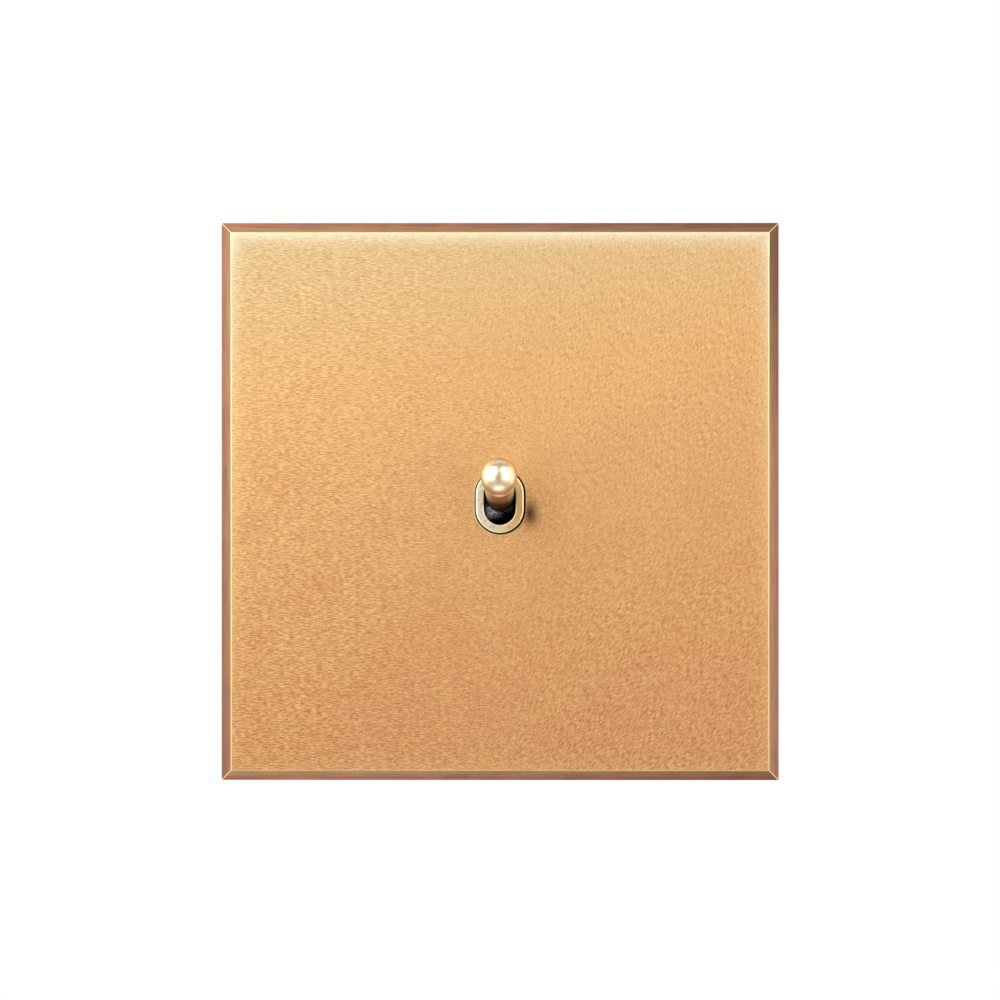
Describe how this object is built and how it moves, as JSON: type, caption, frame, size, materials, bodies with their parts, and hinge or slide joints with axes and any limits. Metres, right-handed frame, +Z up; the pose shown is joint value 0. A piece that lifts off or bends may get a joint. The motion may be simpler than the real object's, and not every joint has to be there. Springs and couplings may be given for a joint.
{
  "type": "toggle wall switch",
  "caption": "Square bevelled brass wall switch with a ball-ended toggle lever in a slotted bushing, on a steel frame for a round wall box.",
  "frame": {"origin": "centre of the plate on the wall plane, midway between the box screws", "axes": "+Y into the wall, +X to the right seen from the room, +Z up; the lever points along -Y with its tip up"},
  "size_m": [0.082, 0.0425, 0.082],
  "materials": {
    "antique_brass": "brushed, aged and waxed",
    "satin_brass": "satin turned",
    "polished_brass": "polished",
    "black_moulding": "moulded, semi-gloss",
    "white_nylon": "moulded",
    "hardened_pin_steel": "ground",
    "spring_steel": "drawn wire",
    "contact_copper": "rolled strip",
    "contact_silver": "pressed rivet",
    "terminal_brass": "extruded and cut",
    "zinc_plated_screws": "bright zinc plated",
    "zinc_plated_sheet": "zinc plated sheet",
    "case_moulding": "moulded thermoset",
    "nickel_plated_magnet": "nickel plated",
    "phosphor_bronze": "rolled strip"
  },
  "bodies": {
    "wall_side": {"face_plate": "antique_brass", "bezel_ring": "satin_brass", "pivot_pin": "hardened_pin_steel", "common_saddle": "terminal_brass", "lower_terminal_block": "terminal_brass", "common_terminal_block": "terminal_brass", "upper_terminal_block": "terminal_brass", "lower_contact_strip": "terminal_brass", "upper_contact_strip": "terminal_brass", "fixed_contacts": "contact_silver", "terminal_screws": "zinc_plated_screws", "mechanism_cover": "case_moulding", "mechanism_base": "case_moulding", "terminal_cover": "case_moulding", "housing_rivets": "zinc_plated_screws", "threaded_inserts": "terminal_brass", "mechanism_screws": "zinc_plated_screws", "support_frame": "zinc_plated_sheet", "plate_magnets": "nickel_plated_magnet", "earth_screw": "terminal_brass", "earth_clamp_plate": "terminal_brass", "earth_contact_spring": "phosphor_bronze", "earth_spring_rivet": "zinc_plated_screws"},
    "lever": {"toggle_lever": "polished_brass", "toggle_carrier": "black_moulding", "plunger_spring": "spring_steel"},
    "plunger": {"plunger": "white_nylon"},
    "rocker": {"contact_rocker": "contact_copper", "moving_contacts": "contact_silver"}
  },
  "joints": [
    {"name": "toggle", "type": "hinge", "parent": "wall_side", "child": "lever", "pos_m": [0, -0.0018, 0], "axis": [1, 0, 0], "range_deg": [0, 28.4]},
    {"name": "plunger_slide", "type": "slide", "parent": "lever", "child": "plunger", "axis": [0, -0.9694, 0.2453], "range_m": [0, 0.0006], "stiffness_N_per_m": 300, "springref_m": -0.002, "deforming": ["plunger_spring"]},
    {"name": "rocker_tilt", "type": "hinge", "parent": "wall_side", "child": "rocker", "pos_m": [0, 0.0092, 0], "axis": [-1, 0, 0], "range_deg": [0, 12]}
  ],
  "couplings": [
    {"joint": "rocker_tilt", "follows": "toggle", "ratio": 0.42254}
  ]
}
